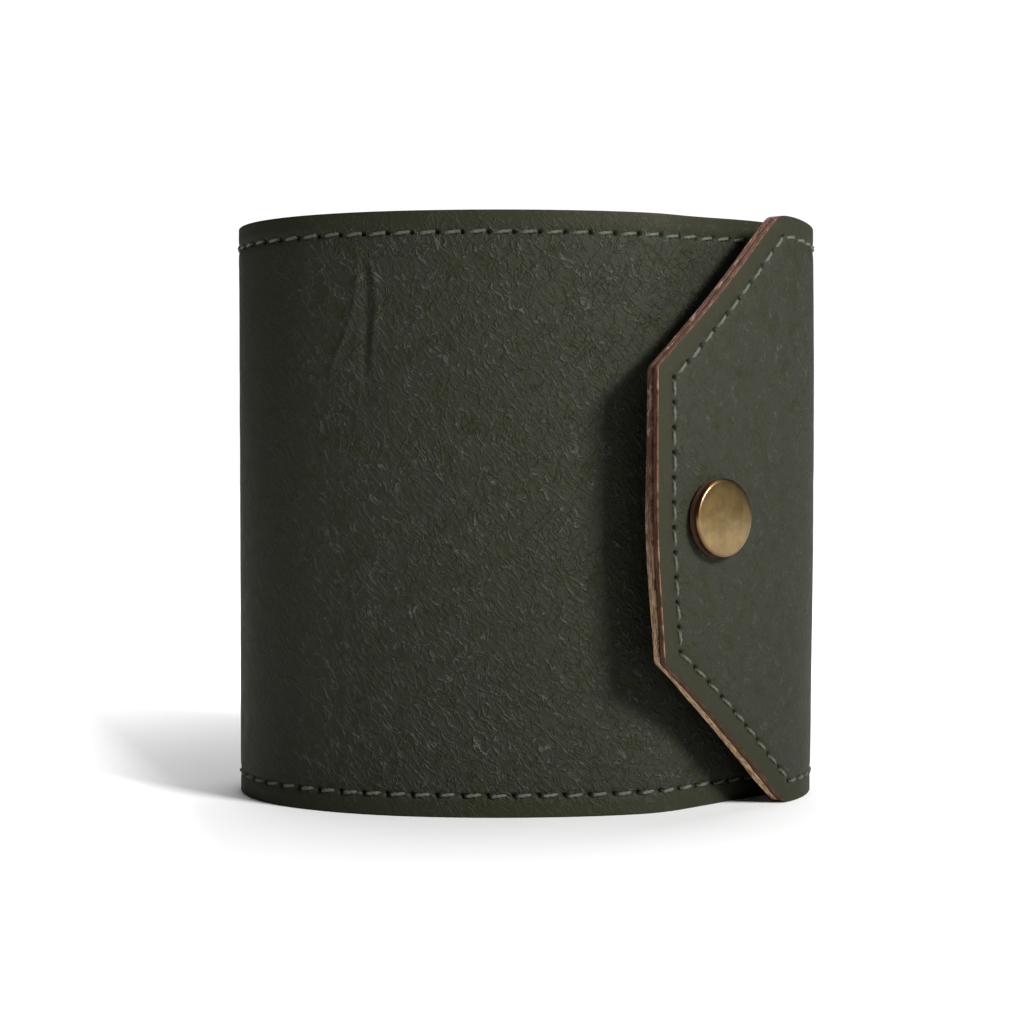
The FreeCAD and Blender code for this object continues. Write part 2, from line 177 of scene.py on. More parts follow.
def ridge(s, z, path, width, height):
    """A crease along a path; it fades towards both ends, and a height below 0 is a furrow."""
    path = np.array(path, float)
    nearest, fade, run = np.full(s.shape, 1e9), np.zeros(s.shape), 0
    total = np.hypot(*np.diff(path, axis=0).T).sum()
    for start, end in zip(path, path[1:]):
        way, long = end - start, math.hypot(*(end - start))
        t = np.clip(((s - start[0]) * way[0] + (z - start[1]) * way[1]) / long ** 2, 0, 1)
        gap = np.hypot(s - start[0] - t * way[0], z - start[1] - t * way[1])
        share = np.clip((run + t * long) / total, 0.02, 0.98)
        fade = np.where(gap < nearest, np.sin(math.pi * share) ** 0.6, fade)
        nearest = np.minimum(nearest, gap)
        run += long
    return height * fade * np.exp(-(nearest / width) ** 2)


def relief(s, z):
    """How far the finished face stands out beyond the slow waves, in mm."""
    out = 0.035 * value_noise(s + z * 0.4, z, 6.5, 2)
    out += 0.014 * value_noise(s + z * 0.8, z * 0.7 - s * 0.3, 2.1, 3)
    for path, width, height in CREASES:
        placed = [(FRONT_LINE + left, level) for left, level in path]
        out += ridge(s, z, placed, width, height)
    return out


# ---------------------------------------------------------------- outlines and stitch rows

def strip_low(s):
    """The strip's lower edge: level, then the flap's chamfer, its corners a little rounded."""
    soft, tip = 0.9, 1.2
    line = (np.asarray(s, float) - CORNER) * math.tan(LEAN)
    low = np.where(line < -6, 0, 0.5 * (line + np.sqrt(line ** 2 + soft ** 2)) - 0.05)
    low = np.maximum(low, 0)
    centre = plan.length - tip
    rise = (centre - CORNER) * math.tan(LEAN) + tip / math.cos(LEAN)
    across = np.clip(s - centre, 0, tip)
    arc = rise - np.sqrt(tip ** 2 - across ** 2)
    return np.where(s > centre + tip * math.sin(LEAN) - 1e-9, arc, low)


def strip_high(s):
    return HEIGHT - strip_low(s)


def holes_along(corners, pitch=STITCH_PITCH):
    """Holes at an even pitch between (length, height) corners, one of them on each corner."""
    holes = [corners[0]]
    for start, end in zip(corners, corners[1:]):
        count = max(1, round(math.dist(start, end) / pitch))
        holes += [(start[0] + (end[0] - start[0]) * i / count,
                   start[1] + (end[1] - start[1]) * i / count) for i in range(1, count + 1)]
    return np.array(holes)


TOP_ROW, LOW_ROW = HEIGHT - STITCH_INSET, STITCH_INSET
flap_corner = CORNER - STITCH_INSET * math.tan(LEAN / 2)
flap_tip = plan.length - STITCH_INSET
flap_rise = LOW_ROW + (flap_tip - flap_corner) * math.tan(LEAN)
FRONT_ROW = holes_along([(BACK_MIDDLE, TOP_ROW), (STITCH_INSET, TOP_ROW),
                         (STITCH_INSET, LOW_ROW), (BACK_MIDDLE, LOW_ROW)])
FLAP_ROW = holes_along([(BACK_MIDDLE, LOW_ROW), (flap_corner, LOW_ROW), (flap_tip, flap_rise),
                        (flap_tip, HEIGHT - flap_rise), (flap_corner, TOP_ROW),
                        (BACK_MIDDLE, TOP_ROW)], FLAP_PITCH)


# How the thread pulls the leather in, in mm; nothing beyond SEAM_REACH is moved.
TRENCH_DEPTH, TRENCH_WIDTH = 0.16, 0.8
HOLE_DEPTH, HOLE_WIDTH = 0.60, 0.40
SEAM_REACH = 2.2


def sewn(rows, finished=False):
    """A worker that pulls a face in along the stitch rows; a finished face gets its relief."""
    def work(s, z, rim):
        trench, hole = np.zeros(s.shape), np.zeros(s.shape)
        for row in rows:
            for start, end in zip(row, row[1:]):
                low, high = np.minimum(start, end) - SEAM_REACH, np.maximum(start, end) + SEAM_REACH
                box = (s > low[0]) & (s < high[0]) & (z > low[1]) & (z < high[1])
                if not box.any():
                    continue
                a, b, way = s[box], z[box], end - start
                t = ((a - start[0]) * way[0] + (b - start[1]) * way[1]) / (way @ way)
                t = np.clip(t, 0, 1)
                gap = np.hypot(a - start[0] - t * way[0], b - start[1] - t * way[1])
                pull = TRENCH_DEPTH * np.exp(-(gap / TRENCH_WIDTH) ** 2)
                trench[box] = np.maximum(trench[box], pull)
                for place in (start, end):
                    far = np.hypot(a - place[0], b - place[1])
                    hole[box] = np.maximum(hole[box], np.exp(-(far / HOLE_WIDTH) ** 4))
        push = trench + HOLE_DEPTH * hole
        if finished:
            push -= relief(s, z) * smooth(rim / 2.5)
        return push, hole
    return work


# ---------------------------------------------------------------- meshes

def new_piece(name, points, faces, material, slot, **fields):
    """A mesh object with smooth faces and the given point attributes."""
    mesh = bpy.data.meshes.new(name)
    mesh.from_pydata(np.asarray(points).tolist(), [], faces)
    for title, values in fields.items():
        kind, key = ("FLOAT_VECTOR", "vector") if values.ndim == 2 else ("FLOAT", "value")
        layer = mesh.attributes.new(title, kind, "POINT")
        layer.data.foreach_set(key, values.astype(np.float32).ravel())
    mesh.polygons.foreach_set("use_smooth", [True] * len(mesh.polygons))
    mesh.materials.append(material)
    piece = bpy.data.objects.new(name, mesh)
    bpy.context.scene.collection.objects.link(piece)
    return piece


def zipper(left, right, heights):
    """Triangles between two chains of point numbers that both run upwards."""
    faces, i, j = [], 0, 0
    while i + 1 < len(left) or j + 1 < len(right):
        if j + 1 == len(right) or (i + 1 < len(left)
                                   and heights[left[i + 1]] <= heights[right[j + 1]]):
            faces.append((left[i], left[i + 1], right[j]))
            i += 1
        else:
            faces.append((left[i], right[j + 1], right[j]))
            j += 1
    return faces


FINE_INSETS = [0.45, 0.65, 0.85, 1.05, 1.3, 1.7, 2.1, 2.4, 2.62, 2.82, 3.0, 3.15, 3.28, 3.4,
               3.5, 3.6, 3.72, 3.85, 4.0, 4.2, 4.45, 4.8, 5.3, 5.9]
COARSE_INSETS = [1.2, 3.0, 5.9]
COARSE_ROWS = 14
WALL = [1, 0.9, 0.3, 0, 0]      # how raw the points of a rounded edge are, from wall to face
FAR_FROM_EDGE = 9               # stands for the distance to the edge of all further points


class Sheet:
    """A closed sheet of leather: columns along the strip, each a ring of points round it.
    outline gives the lower and upper edge by length, depths those of its two faces in mm, and
    a face's worker returns how far it is pushed in and how much of a hole is there."""

    def __init__(self, columns, outline, depths, rounding=0.25, free_ends=(True, True),
                 fine=(True, False), rows=130):
        self.columns, self.rounding, self.depths = np.asarray(columns), rounding, depths
        edges = [np.broadcast_to(edge(self.columns), self.columns.shape) for edge in outline]
        chains = [self.face(edges, depth, sign, is_fine, rows)
                  for depth, sign, is_fine in zip(depths, (1, -1), fine)]
        self.split = chains[0][0].shape[1]
        self.z, self.depth, self.rim, self.raw = (
            np.concatenate([a, b[:, ::-1]], 1) for a, b in zip(*chains))
        self.s = np.broadcast_to(self.columns[:, None], self.z.shape).copy()
        self.hole = np.zeros(self.z.shape)
        self.flat = self.depth.copy()
        self.free_ends = free_ends
        self.round_ends()

    def face(self, edges, depth, sign, fine, rows):
        """Height, depth, distance to the edge and rawness of one face's points, by column."""
        lean = [np.minimum(np.hypot(1, np.gradient(edge, self.columns)), 2.2) for edge in edges]
        turn = np.radians([90, 67, 45, 22, 0])
        inset = self.rounding * (1 - np.sin(turn))      # both from the wall to the face
        drop = self.rounding * (1 - np.cos(turn))
        fan = np.array([d for d in (FINE_INSETS if fine else COARSE_INSETS) if d > self.rounding])
        inner = np.linspace(0, 1, rows if fine else COARSE_ROWS)[1:-1]
        away, fall = np.concatenate([inset, fan]), np.concatenate([drop, 0 * fan])
        wall = np.concatenate([WALL, 0 * fan])
        z = []
        for low, high, lean_low, lean_high in zip(*edges, *lean):
            bottom, top = low + away * lean_low, (high - away * lean_high)[::-1]
            middle = bottom[-1] + (top[0] - bottom[-1]) * inner
            z.append(np.concatenate([bottom, middle, top]))
        rings = (depth + sign * np.concatenate([fall, 0 * inner, fall[::-1]]),
                 np.concatenate([away, FAR_FROM_EDGE + 0 * inner, away[::-1]]),
                 np.concatenate([wall, 0 * inner, wall[::-1]]))
        return [np.array(z)] + [np.tile(ring, (len(z), 1)) for ring in rings]

    def round_ends(self):
        """Draws the faces together over the last bit of each free end."""
        middle, half = sum(self.depths) / 2, abs(self.depths[1] - self.depths[0]) / 2
        for free, end in zip(self.free_ends, (self.columns[0], self.columns[-1])):
            away = np.abs(self.columns - end)
            if free:
                short = np.clip(self.rounding - away, 0, None)
                squeeze = self.rounding - np.sqrt(self.rounding ** 2 - short ** 2)
                self.depth = middle + (self.depth - middle) * (1 - squeeze / half)[:, None]
                self.rim = np.minimum(self.rim, away[:, None])
                self.raw = np.maximum(self.raw, smooth(short / self.rounding * 1.3)[:, None])

    def work(self, outer=None, inner=None):
        """Lets the workers push the outer and the inner face in."""
        for worker, part, sign in ((outer, slice(0, self.split), 1),
                                   (inner, slice(self.split, None), -1)):
            if worker:
                push, hole = worker(self.s[:, part], self.z[:, part], self.rim[:, part])
                face = 1 - self.raw[:, part]
                self.depth[:, part] += sign * push * face
                self.hole[:, part] = hole * face
        return self

    def made(self, name, material, slot, lift=None):
        depth = self.depth + (lift(self.s, self.z, self.depth) if lift else 0)
        points = in_space(self.s, depth, self.z)
        count, ring = self.z.shape
        number = np.arange(count * ring).reshape(count, ring)
        a, b = number[:-1], number[1:]
        quads = np.stack([a, np.roll(a, -1, 1), np.roll(b, -1, 1), b], -1).reshape(-1, 4)
        faces = [tuple(face) for face in quads.tolist()]
        order = np.arange(count * ring)
        for column, turned, free in zip((0, count - 1), (True, False), self.free_ends):
            own = number[column]
            if not free:        # a cap with points of its own leaves the join's shading alone
                own = len(order) + np.arange(ring)
                order = np.concatenate([order, number[column]])
            heights = self.z.ravel()[order]
            left, right = own[:self.split], own[self.split:][::-1]
            cap = zipper(left.tolist(), right.tolist(), heights)
            faces += [face[::-1] if turned else face for face in cap]
        place = np.column_stack([self.s.ravel(), self.flat.ravel(), self.z.ravel()])
        fields = dict(place=place, raw=self.raw.ravel(), hole=self.hole.ravel(),
                      rim=self.rim.ravel())
        return new_piece(name, points[order], faces, material, slot,
                         **{title: values[order] for title, values in fields.items()})


def spaced(first, last, step, dense=(), rounding=0.25, free_ends=(True, True)):
    """Columns from first to last, closer together in the dense stretches and at free ends."""
    marks = [first]
    while marks[-1] < last - step * 0.6:
        here = marks[-1]
        marks.append(here + next((fine for low, high, fine in dense if low <= here < high),
                                 step))
    marks[-1] = last
    ends = rounding * np.array([0, 0.1, 0.25, 0.5, 1.0])
    if free_ends[0]:
        marks = [first + e for e in ends] + [m for m in marks if m > first + rounding + 0.1]
    if free_ends[1]:
        marks = [m for m in marks if m < last - rounding - 0.1] + [last - e for e in ends[::-1]]
    return np.array(marks)


# ---------------------------------------------------------------- thread and press stud

THREAD_RADIUS, TWIST_PITCH = 0.29, 1.25
STITCH_START, STITCH_SHARE = 0.16, 0.78     # of the way between two holes
STITCH_SUNK, STITCH_RISE = 0.55, 0.46       # its ends lie that deep, its middle that much higher
STITCH_SLANT = 0.34


def thread(name, rows, material, faces=((0.0, 1), (2 * PLY, -1))):
    """Twisted stitches from hole to hole along rows of (length, height) holes, on the faces at
    the given depths; 1 faces outwards and -1 inwards."""
    samples, sides = 21, 10
    t = np.linspace(0, 1, samples)[:, None]
    angle = np.linspace(0, 2 * math.pi, sides, endpoint=False)[None, :]
    rise = -STITCH_SUNK + STITCH_RISE * smooth(t / 0.45) * smooth((1 - t) / 0.14)
    share = STITCH_START + STITCH_SHARE * t
    tube_points = samples * sides
    number = np.arange(tube_points).reshape(samples, sides)
    a, b = number[:-1], number[1:]
    tube = np.stack([a, b, np.roll(b, -1, 1), np.roll(a, -1, 1)], -1).reshape(-1, 4)
    points, faces_made, places = [], [], []
    rng = np.random.default_rng(11)
    for depth, facing in faces:
        for row in rows:
            for i, (start, end) in enumerate(zip(row, row[1:])):
                way = end - start
                long = math.hypot(*way)
                side = np.array([-way[1], way[0]]) / long
                along = t * long + i * STITCH_PITCH
                slant = (0.5 - t) * STITCH_SLANT + rng.normal(0, 0.04)
                twist = 2 * angle + 2 * math.pi * along / TWIST_PITCH
                thick = THREAD_RADIUS * (1 + 0.13 * np.cos(twist))
                off = slant + thick * np.cos(angle)
                s = start[0] + way[0] * share + side[0] * off
                z = start[1] + way[1] * share + side[1] * off
                up = rise + rng.normal(0, 0.02) + thick * np.sin(angle)
                first = len(points) * tube_points
                points.append(in_space(s, depth - facing * up, z))
                order = tube if facing > 0 else tube[:, ::-1]
                faces_made += [tuple(face) for face in (order + first).tolist()]
                places.append(np.column_stack([(along + 0 * angle).ravel(),
                                               (angle + 0 * t).ravel(),
                                               (np.sin(math.pi * t) + 0 * angle).ravel()]))
    return new_piece(name, np.concatenate(points), faces_made, material, "thread",
                     place=np.concatenate(places))


def filleted(corners):
    """A profile of (radius, rise) points from (radius, rise, fillet) corners."""
    made = []
    for i, (radius, rise, fillet) in enumerate(corners):
        here = np.array([radius, rise], float)
        if not fillet or i in (0, len(corners) - 1):
            made.append(here)
            continue
        before, after = (np.array(corners[j][:2], float) - here for j in (i - 1, i + 1))
        long = [math.hypot(*before), math.hypot(*after)]
        before, after = before / long[0], after / long[1]
        half = math.acos(np.clip(before @ after, -1, 1)) / 2
        cut = min(fillet / math.tan(half), 0.48 * min(long))
        for t in np.linspace(0, 1, 6):
            made.append(here + before * cut * (1 - t) ** 2 + after * cut * t ** 2)
    return np.array(made)


WOBBLE_RADIUS = 6


def turned(name, corners, origin, axis, material, slot, wobble=0.0):
    """A lathe-turned piece about an axis: corners are (radius, rise, fillet) in mm, listed so
    that the outside is on the right of the way along them.  wobble is how far from true, in
    mm, it is at WOBBLE_RADIUS."""
    steps = 128
    profile = filleted(corners)
    across = np.cross(UP, axis)
    turn = np.linspace(0, 2 * math.pi, steps, endpoint=False)
    around = np.cos(turn)[:, None] * across + np.sin(turn)[:, None] * UP
    points, places, faces, rows = [], [], [], []
    for radius, rise in profile:
        first = len(points)
        count = steps if radius > 1e-6 else 1
        dent = wobble * np.cos(turn[:count] * 3 + 0.6)
        for k in range(count):
            lift = rise + dent[k] * radius / WOBBLE_RADIUS
            points.append(origin + around[k] * radius + axis * lift)
            places.append((radius * math.cos(turn[k]), radius * math.sin(turn[k]), rise))
        rows.append([first + k % count for k in range(steps + 1)])
    for a, b in zip(rows, rows[1:]):
        for k in range(steps):
            face = [a[k], b[k], b[k + 1], a[k + 1]]
            face = [v for i, v in enumerate(face) if v not in face[:i]]
            if len(face) > 2:
                faces.append(tuple(face))
    if math.dist(profile[0], profile[-1]) < 1e-9:
        keep = rows[-1][0]
        faces = [tuple(v - keep if v >= keep else v for v in face) for face in faces]
        points, places = points[:keep], places[:keep]
    return new_piece(name, np.array(points) * MM, faces, material, slot,
                     place=np.array(places))


# ---------------------------------------------------------------- materials

class Shader:
    """A node material under construction; values may be numbers, colours or sockets."""

    def __init__(self, name):
        self.material = bpy.data.materials.new(name)
        self.material.use_nodes = True
        self.tree = self.material.node_tree
        self.surface = self.tree.nodes["Principled BSDF"]

    def node(self, kind, inputs=(), out=0, **settings):
        made = self.tree.nodes.new("ShaderNode" + kind)
        for key, value in settings.items():
            setattr(made, key, value)
        for key, value in dict(inputs).items():
            self.put(made.inputs[key], value)
        return made.outputs[out]

    def put(self, socket, value):
        if isinstance(value, bpy.types.NodeSocket):
            self.tree.links.new(value, socket)
        else:
            socket.default_value = value

    def set(self, **inputs):
        for key, value in inputs.items():
            self.put(self.surface.inputs[key.replace("_", " ")], value)
        return self.material

    def math(self, operation, a, b=0.0, c=0.0):
        return self.node("Math", {0: a, 1: b, 2: c}, operation=operation)

    def attribute(self, name, out="Fac"):
        return self.node("Attribute", out=out, attribute_name=name)

    def stretched(self, vector, scale, turn=0.0):
        return self.node("Mapping", {"Vector": vector, "Rotation": (0, turn, 0),
                                     "Scale": scale})

    def noise(self, vector, scale, detail=3.0, roughness=0.5, warp=0.0):
        return self.node("TexNoise", {"Vector": vector, "Scale": scale, "Detail": detail,
                                      "Roughness": roughness, "Distortion": warp})

    def ramp(self, value, low, high, to_low=0.0, to_high=1.0):
        return self.node("MapRange", {"Value": value, 1: low, 2: high, 3: to_low, 4: to_high},
                         interpolation_type="SMOOTHSTEP")

    def mix(self, factor, a, b):
        made = self.tree.nodes.new("ShaderNodeMix")
        made.data_type = "RGBA"
        for key, value in (("Factor_Float", factor), ("A_Color", a), ("B_Color", b)):
            socket = next(i for i in made.inputs if i.identifier == key)
            self.put(socket, value)
        return next(o for o in made.outputs if o.identifier == "Result_Color")

    def bump(self, height, distance):
        return self.node("Bump", {"Height": height, "Distance": distance, "Strength": 1.0})

    def split(self, vector):
        """The three numbers of a vector."""
        made = self.tree.nodes.new("ShaderNodeSeparateXYZ")
        self.put(made.inputs[0], vector)
        return made.outputs


def grey(value):
    return (value, value, value, 1)


class Leather(Shader):
    """Finished leather with a raw cut edge, in sections: grain, finish and edge."""

    def __init__(self, name):
        super().__init__(name)
        self.place = self.attribute("place", "Vector")
        self.raw, self.hole, self.rim = (self.attribute(key) for key in ("raw", "hole", "rim"))
        self.along, self.depth, self.level = self.split(self.place)
        self.tiny = self.noise(self.place, 6.0, 4.0, 0.6)
        self.mottle = self.noise(self.place, 0.30, 5.0, 0.62, 0.8)
        past_fold = (112, 150)      # mm along the strip
        self.rugged = self.math("ADD", self.ramp(self.along, 78, 100, 1.0, 0.14),
                                self.ramp(self.along, *past_fold, 0.0, 0.31))
        # painted shade: the finish darkens round the left fold, where the strip turns away from the
        # light
        self.fold_shade = self.math("SUBTRACT", self.ramp(self.along, 82, 106),
                                self.ramp(self.along, *past_fold))

    def lines(self, vector, stretch, scale, width):
        """Thin ridges, drawn out along the vector's third direction."""
        value = self.noise(self.stretched(vector, (1.0, 1.0, stretch)), scale, 2.0, 0.45)
        middle = self.math("ABSOLUTE", self.math("SUBTRACT", value, 0.5))
        return self.ramp(middle, 0.0, width, 1, 0)

    def ridges(self):
        """Fine ridges along one diagonal and long creases along both."""
        warp = self.node("TexNoise", {"Vector": self.place, "Scale": 0.35, "Detail": 3.0},
                         out="Color")
        warp = self.node("VectorMath", {0: warp, "Scale": 2.4}, operation="SCALE")
        warped = self.node("VectorMath", {0: self.place, 1: warp}, operation="ADD")
        slope = self.stretched(warped, (1, 1, 1), -0.75)
        cells = self.noise(self.stretched(slope, (1.0, 1.0, 0.42)), 1.6, 3.0, 0.55)
        cross = self.lines(self.stretched(warped, (1, 1, 1), 0.6), 0.24, 0.60, 0.028)
        fine = self.math("MAXIMUM", self.lines(slope, 0.17, 0.72, 0.034),
                         self.math("MULTIPLY", cross, 0.8))
        height = self.math("MULTIPLY_ADD", self.ramp(cells, 0.38, 0.66), 0.38,
                           self.math("MULTIPLY", fine, 0.56))
        return self.math("MULTIPLY_ADD", self.tiny, 0.20, height)

    def grain(self, ridges, depth):
        """The ridges as relief, so many mm deep.  They are bold on the front, die out in the
        left fold, are weak from there on and along the edges, and give way to fibres on a
        cut edge."""
        broad = self.noise(self.place, 0.22, 4.0, 0.6, 0.6)
        calm = self.math("MULTIPLY_ADD", self.ramp(self.rim, 1.2, 4.2), 0.75, 0.25)
        calm = self.math("MULTIPLY", calm, self.ramp(broad, 0.25, 0.72, 0.55, 1.0))
        calm = self.math("MULTIPLY", calm, self.rugged)
        fibres = self.noise(self.stretched(self.place, (0.7, 5.0, 0.7)), 2.2, 5.0, 0.65)
        relief = self.math("MULTIPLY", self.math("MULTIPLY", ridges, calm), depth * MM)
        relief = self.math("MULTIPLY_ADD", self.math("MULTIPLY", fibres, self.raw), 0.30 * MM,
                           relief)
        return self.bump(relief, 1.0)

    def finish(self, ridges, dark, patch, pale_tops):
        """Mottled, paler where the ridges show wear, darker in the left fold as painted shade where
        the strip turns from the light, darker along the edges, and painted shade in the holes."""
        deep = (*(0.72 * value for value in dark[:2]), 0.52 * dark[2], 1)
        colour = self.mix(self.ramp(self.mottle, 0.33, 0.56), dark, patch)
        wear = self.math("MULTIPLY", self.ramp(ridges, 0.55, 0.95),
                         self.ramp(self.mottle, 0.34, 0.62))
        colour = self.mix(self.math("MULTIPLY", wear, self.rugged), colour, pale_tops)
        # painted shade in the left fold
        colour = self.mix(self.math("MULTIPLY", self.fold_shade, 0.6), colour, deep)
        colour = self.mix(self.ramp(self.rim, 2.4, 3.6, 0.65, 0.0), colour, dark)
        # painted shade: the stitch holes are coloured near-black for the shade inside them
        return self.mix(self.ramp(self.hole, 0.35, 0.75), colour, grey(0.0015))

    def cut_edge(self, low, high, pale):
        """One colour at the foot and one at the top, with pale lumps and dark streaks, and a
        line of painted shade in the groove where the plies meet."""
        dark = (0.034, 0.016, 0.010, 1)
        streak = self.noise(self.stretched(self.place, (0.45, 3.5, 0.45)), 1.6, 5.0, 0.65)
        lumps = self.noise(self.stretched(self.place, (0.8, 1.4, 0.8)), 0.55, 4.0, 0.65, 0.4)
        meet = self.math("ABSOLUTE", self.math("SUBTRACT", self.depth, PLY))
        # on the lining the foot colour is partly a painted highlight
        colour = self.mix(self.ramp(self.level, 26, 56), low, high)
        colour = self.mix(self.ramp(lumps, 0.48, 0.72, 0.0, 0.55), colour, pale)
        colour = self.mix(self.ramp(streak, 0.44, 0.60, 0.0, 0.85), colour, dark)
        # painted shade: near-black along the groove between the plies
        return self.mix(self.ramp(meet, 0.04, 0.20, 0.5, 0.0), colour, grey(0.004))


def leather_material(name, dark, patch, pale_tops, grain, edge_low, edge_high, edge_pale, gloss):
    """dark and patch are the finish's colours and the third that of its paler ridge tops, grain
    its depth in mm and gloss its least roughness; the edge's colours are those at the foot, at
    the top and of its palest fibres."""
    sh = Leather(name)
    ridges = sh.ridges()
    colour = sh.mix(sh.ramp(sh.raw, 0.35, 0.75), sh.finish(ridges, dark, patch, pale_tops),
                    sh.cut_edge(edge_low, edge_high, edge_pale))
    rough = sh.ramp(sh.mottle, 0.3, 0.7, gloss, gloss + 0.1)
    rough = sh.math("MULTIPLY_ADD", sh.tiny, 0.16, rough)
    rough = sh.math("MAXIMUM", rough, sh.math("MULTIPLY", sh.raw, 0.75))
    return sh.set(Base_Color=colour, Roughness=rough, Normal=sh.grain(ridges, grain),
                  Specular_IOR_Level=0.20, Specular_Tint=(1.0, 0.98, 0.76, 1))


def thread_material():
    """Dark thread with a painted highlight along the top of each stitch."""
    sh = Shader("waxed_thread")
    place = sh.attribute("place", "Vector")
    top = sh.split(place)[2]
    hairs = sh.noise(sh.stretched(place, (1.0, 2.0, 0.0)), 4.0, 3.0)
    # painted highlight: the top of each stitch is coloured paler, broken up by the hairs
    pale_tops = sh.math("MULTIPLY", sh.ramp(top, 0.2, 0.9), sh.ramp(hairs, 0.35, 0.65))
    colour = sh.mix(pale_tops, (0.020, 0.023, 0.014, 1), (0.080, 0.088, 0.062, 1))
    return sh.set(Base_Color=colour, Roughness=0.62, Specular_IOR_Level=0.35,
                  Normal=sh.bump(hairs, 0.06 * MM))


def brass_material(name, bright, dull, stain_and_shade, roughness, streaks, rim_stain=0.0,
                   painted_shade_below=-99.0, lacquer=0.0):
    """Old brass: bright metal under a duller skin, brushed by an amount of streaks.  The rim
    is stained by its share, and whatever rises less than the level given next, in mm, is wholly
    painted shade in the stain colour, rougher and less metallic."""
    sh = Shader(name)
    place = sh.attribute("place", "Vector")
    level = sh.split(place)[2]
    brushed = sh.noise(sh.stretched(place, (1.3, 0.12, 1.0)), 1.6, 4.0, 0.55)
    cloudy = sh.noise(place, 0.40, 4.0, 0.6, 0.5)
    fine = sh.noise(place, 5.0, 4.0, 0.6)
    skin = sh.math("MULTIPLY_ADD", brushed, streaks, sh.math("MULTIPLY", cloudy, 1 - streaks))
    colour = sh.mix(sh.ramp(skin, 0.34, 0.66), dull, bright)
    colour = sh.mix(sh.ramp(fine, 0.58, 0.80, 0.0, 0.4), colour, stain_and_shade)
    radius = sh.node("VectorMath", {0: sh.stretched(place, (1.0, 1.0, 0.0))}, out="Value",
                     operation="LENGTH")
    colour = sh.mix(sh.ramp(radius, 5.0, 6.1, 0.0, rim_stain), colour, stain_and_shade)
    side = sh.math("MULTIPLY_ADD", cloudy, 0.5, level)
    # painted shade: below that level the side wall takes the stain colour, rougher and less
    # metallic
    below = sh.ramp(side, painted_shade_below, painted_shade_below + 0.5, 1.0, 0.0)
    colour = sh.mix(below, colour, stain_and_shade)
    rough = sh.math("MULTIPLY_ADD", fine, 0.12, roughness)
    rough = sh.math("MULTIPLY_ADD", below, 0.15, rough)
    height = sh.math("MULTIPLY_ADD", brushed, streaks, fine)
    metallic = sh.math("MULTIPLY_ADD", below, -0.75, 1.0)
    return sh.set(Base_Color=colour, Metallic=metallic, Roughness=rough,
                  Normal=sh.bump(height, 0.008 * MM), Coat_Weight=lacquer, Coat_Roughness=0.12)


def plain_material(name, colour, roughness, metallic=0.0):
    return Shader(name).set(Base_Color=colour, Roughness=roughness, Metallic=metallic)


OUTER = leather_material("olive_brown_leather", dark=(0.0086, 0.0094, 0.0036, 1),
                         patch=(0.0106, 0.0118, 0.0084, 1), pale_tops=(0.038, 0.043, 0.033, 1),
                         grain=0.32, edge_low=(0.150, 0.078, 0.042, 1),
                         edge_high=(0.150, 0.060, 0.042, 1), edge_pale=(0.36, 0.21, 0.16, 1),
                         gloss=0.55)
LINING = leather_material("smooth_lining_leather", dark=(0.013, 0.012, 0.007, 1),
                          patch=(0.022, 0.020, 0.013, 1), pale_tops=(0.050, 0.047, 0.036, 1),
                          # painted highlight: the lining's edge is tan, brightened at its foot and
                          # in its palest fibres for light on its lower half
                          grain=0.08, edge_low=(0.70, 0.46, 0.27, 1),
                          edge_high=(0.150, 0.070, 0.048, 1), edge_pale=(0.85, 0.66, 0.48, 1),
                          gloss=0.58)
POCKET = leather_material("pocket_leather", dark=(0.018, 0.015, 0.009, 1),
                          patch=(0.032, 0.027, 0.017, 1), pale_tops=(0.065, 0.058, 0.042, 1),
                          grain=0.10, edge_low=(0.130, 0.075, 0.040, 1),
                          edge_high=(0.110, 0.058, 0.034, 1), edge_pale=(0.26, 0.17, 0.10, 1),
                          gloss=0.56)
THREAD = thread_material()
CAP_BRASS = brass_material("antique_brass", bright=(0.205, 0.140, 0.055, 1),
                           dull=(0.145, 0.098, 0.038, 1), stain_and_shade=(0.110, 0.036, 0.028, 1),
                           # the side wall under 1.15 mm is painted shade in the stain colour
                           roughness=0.25, streaks=0.12, rim_stain=0.35, painted_shade_below=1.15,
                           lacquer=0.25)
SNAP_BRASS = brass_material("snap_brass", bright=(0.52, 0.40, 0.20, 1),
                            dull=(0.34, 0.25, 0.12, 1), stain_and_shade=(0.12, 0.07, 0.04, 1),
                            roughness=0.26, streaks=0.1)
STEEL = plain_material("spring_steel", (0.50, 0.49, 0.47, 1), 0.28, 1.0)


# ---------------------------------------------------------------- leather pieces

# The two bodies at each fold, its place along the strip and the way from one body to the other.
FOLDS = {
    "left": (("front_cover", "back_cover"), LEFT_FOLD, (-0.12, 0.993)),
    "right": (("back_cover", "flap"), RIGHT_FOLD, (0.30, -0.954)),
}


def bent(piece, fold):
    """Bakes a piece of the strip's placement into its points; the fold that it passes round is
    looked up, but nothing lets the piece turn there.
    """
    bodies, place, way = FOLDS[fold]
    point, way = plan.at(place)[0][0], np.array(way)
    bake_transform(piece)


EDGE_SWELL = 0.55


def swollen(s, z, depth):
    """The lining's cut edge is a little thicker in the middle of the flap's tip and along its
    lower chamfer."""
    tip = smooth((s - plan.length + 4) / 4) * np.exp(-((z - 45) / 17) ** 2)
    foot = smooth(1 - (z - strip_low(s)) / 5) * smooth((s - CORNER) / 5)
    foot = foot * smooth((plan.length - 2 - s) / 6)
    return EDGE_SWELL * np.maximum(tip, foot) * (depth - PLY) / PLY


